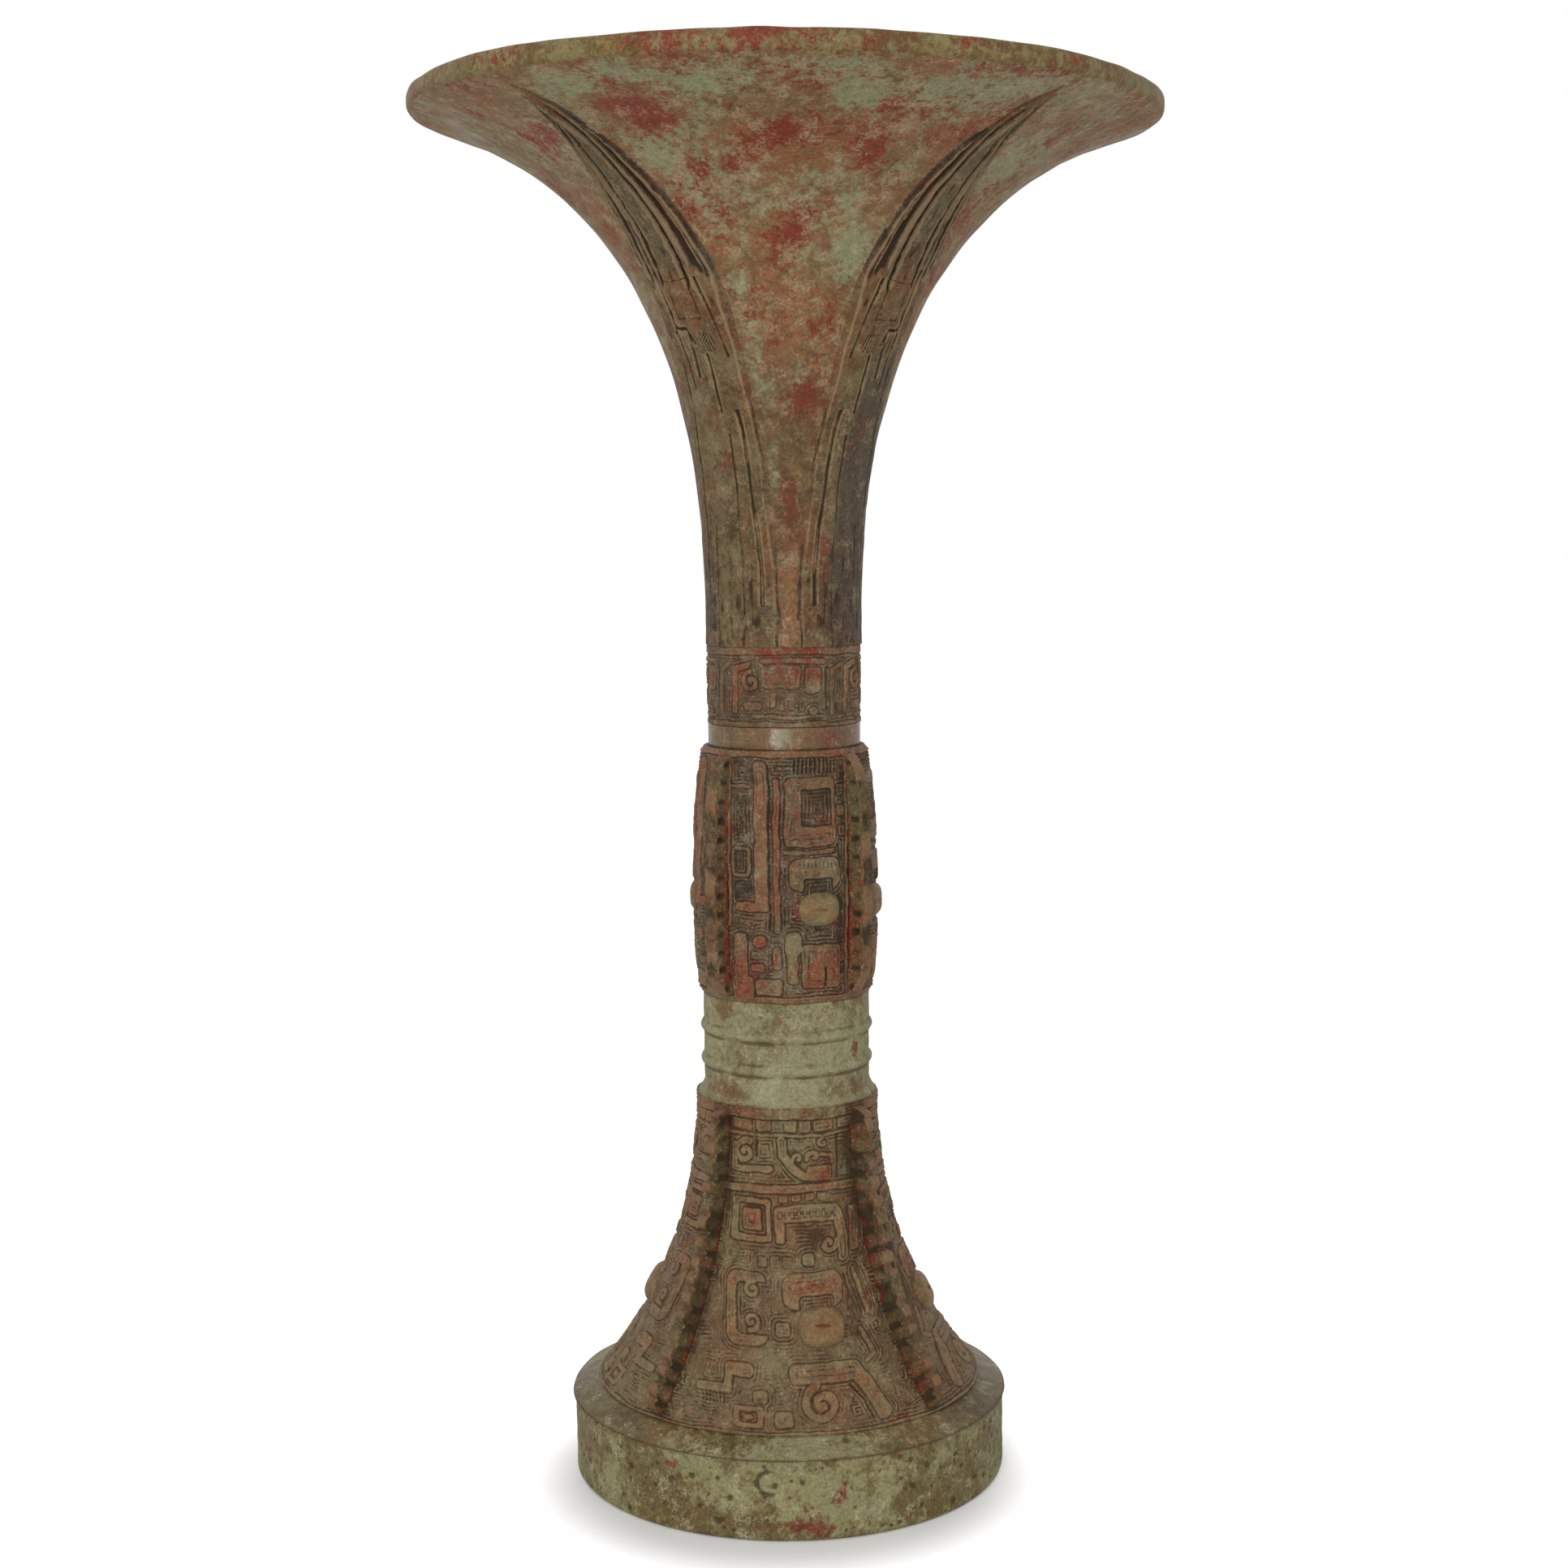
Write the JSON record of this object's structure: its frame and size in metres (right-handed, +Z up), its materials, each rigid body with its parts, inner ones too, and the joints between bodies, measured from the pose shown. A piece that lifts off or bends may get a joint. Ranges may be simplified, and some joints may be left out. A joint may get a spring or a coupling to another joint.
{
  "type": "bronze gu vessel",
  "caption": "Slender bronze gu wine beaker: flaring trumpet mouth with leaf blades, masked waist and foot with notched flanges, plain stepped foot ring.",
  "frame": {"origin": "on the ground, on the axis of the vessel, in the plane of the foot ring's lower face", "axes": "+Z up along the axis, -Y out of the front mask panel; the flanges stand at 45 degrees to X and Y"},
  "size_m": [0.1602, 0.1602, 0.3],
  "materials": {
    "olive_bronze": "cast bronze, satin, olive brown with red and green corrosion",
    "green_bronze": "cast bronze under matt pale green corrosion",
    "dark_bronze": "cast bronze, satin, dark brown with earth in the notches",
    "red_bronze": "cast bronze, satin, warm brown where it is rubbed"
  },
  "bodies": {
    "root": {"trumpet": "olive_bronze", "waist": "olive_bronze", "cup_floor": "olive_bronze", "foot": "olive_bronze", "foot_ring": "green_bronze", "waist_flange_front_right": "dark_bronze", "waist_flange_back_right": "dark_bronze", "waist_flange_back_left": "dark_bronze", "waist_flange_front_left": "dark_bronze", "foot_flange_front_right": "dark_bronze", "foot_flange_back_right": "dark_bronze", "foot_flange_back_left": "dark_bronze", "foot_flange_front_left": "dark_bronze", "waist_eye_front": "red_bronze", "waist_eye_right": "red_bronze", "waist_eye_back": "red_bronze", "waist_eye_left": "red_bronze", "foot_eye_front": "red_bronze", "foot_eye_right": "red_bronze", "foot_eye_back": "red_bronze", "foot_eye_left": "red_bronze"}
  },
  "joints": []
}
